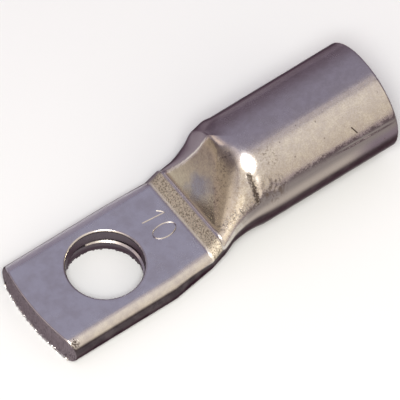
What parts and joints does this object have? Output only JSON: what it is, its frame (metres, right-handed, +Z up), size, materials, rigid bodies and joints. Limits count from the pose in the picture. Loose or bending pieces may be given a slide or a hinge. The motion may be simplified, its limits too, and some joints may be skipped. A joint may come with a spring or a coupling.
{
  "type": "tubular cable lug",
  "caption": "Tinned copper cable lug: round open barrel for a stranded conductor, pressed through a sloped shoulder into a flat palm with a stud hole.",
  "frame": {"origin": "on the axis of the stud hole, at the underside of the palm", "axes": "+Z up out of the palm along the stud hole, +X from the palm to the mouth of the barrel, +Y to the left"},
  "size_m": [0.054, 0.0168, 0.0156],
  "materials": {
    "tinned_copper": "satin tin plating over copper"
  },
  "bodies": {
    "root": {"cable_lug": "tinned_copper"}
  },
  "joints": []
}
